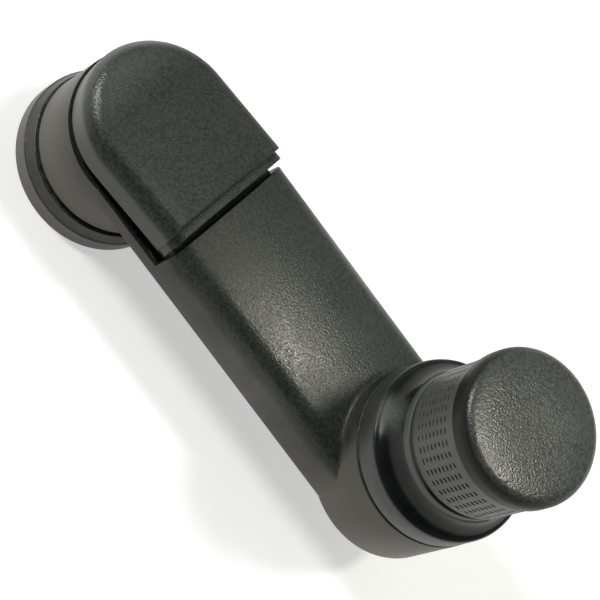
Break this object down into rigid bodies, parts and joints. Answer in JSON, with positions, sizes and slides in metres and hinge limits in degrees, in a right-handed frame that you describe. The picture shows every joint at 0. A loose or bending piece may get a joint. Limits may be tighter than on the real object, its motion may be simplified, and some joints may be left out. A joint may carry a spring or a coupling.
{
  "type": "car window winder handle",
  "caption": "Cranked hand lever for a door's window regulator: splined hub with a clip-on cover, a broad ribbed arm and a spinning knob with a notched grip.",
  "frame": {"origin": "on the spindle axis, at the level of the base ring's underside, which lies on the door trim", "axes": "+Z along the spindle axis, away from the door, and +X from the spindle axis to the knob axis"},
  "size_m": [0.1294, 0.0396, 0.0752],
  "materials": {
    "grained_plastic": "fine leather grain, satin black",
    "gloss_black_plastic": "smooth, half gloss",
    "inner_plastic": "plain moulded",
    "fibre": "pressed fibre",
    "nylon": "natural, greased",
    "steel": "plain steel, light oil",
    "zinc_plated_steel": "bright zinc plate"
  },
  "bodies": {
    "handle": {"crank_arm": "grained_plastic", "spline_insert": "steel", "hub_screw": "zinc_plated_steel", "screw_washer": "zinc_plated_steel", "lock_washer": "steel", "friction_washer": "fibre", "knob_collar": "gloss_black_plastic", "knob_stud": "steel", "stud_foot_washer": "zinc_plated_steel", "wave_washer": "steel", "stud_top_washer": "zinc_plated_steel", "retaining_clip": "steel"},
    "knob": {"knob_bush": "nylon", "knob_core": "inner_plastic", "grip_sleeve": "grained_plastic", "knob_cap": "grained_plastic"},
    "ring": {"base_ring": "grained_plastic"},
    "cover": {"hub_cover": "grained_plastic"}
  },
  "joints": [
    {"name": "knob_spin", "type": "hinge", "parent": "handle", "child": "knob", "pos_m": [0.09, 0, 0.06], "axis": [0, 0, 1], "continuous": true},
    {"name": "ring_turn", "type": "hinge", "parent": "handle", "child": "ring", "pos_m": [0, 0, 0.004], "axis": [0, 0, 1], "continuous": true},
    {"name": "cover_tip", "type": "hinge", "parent": "handle", "child": "cover", "pos_m": [-0.01776, 0, 0.0239], "axis": [0, -1, 0], "range_deg": [-6, 75]}
  ]
}
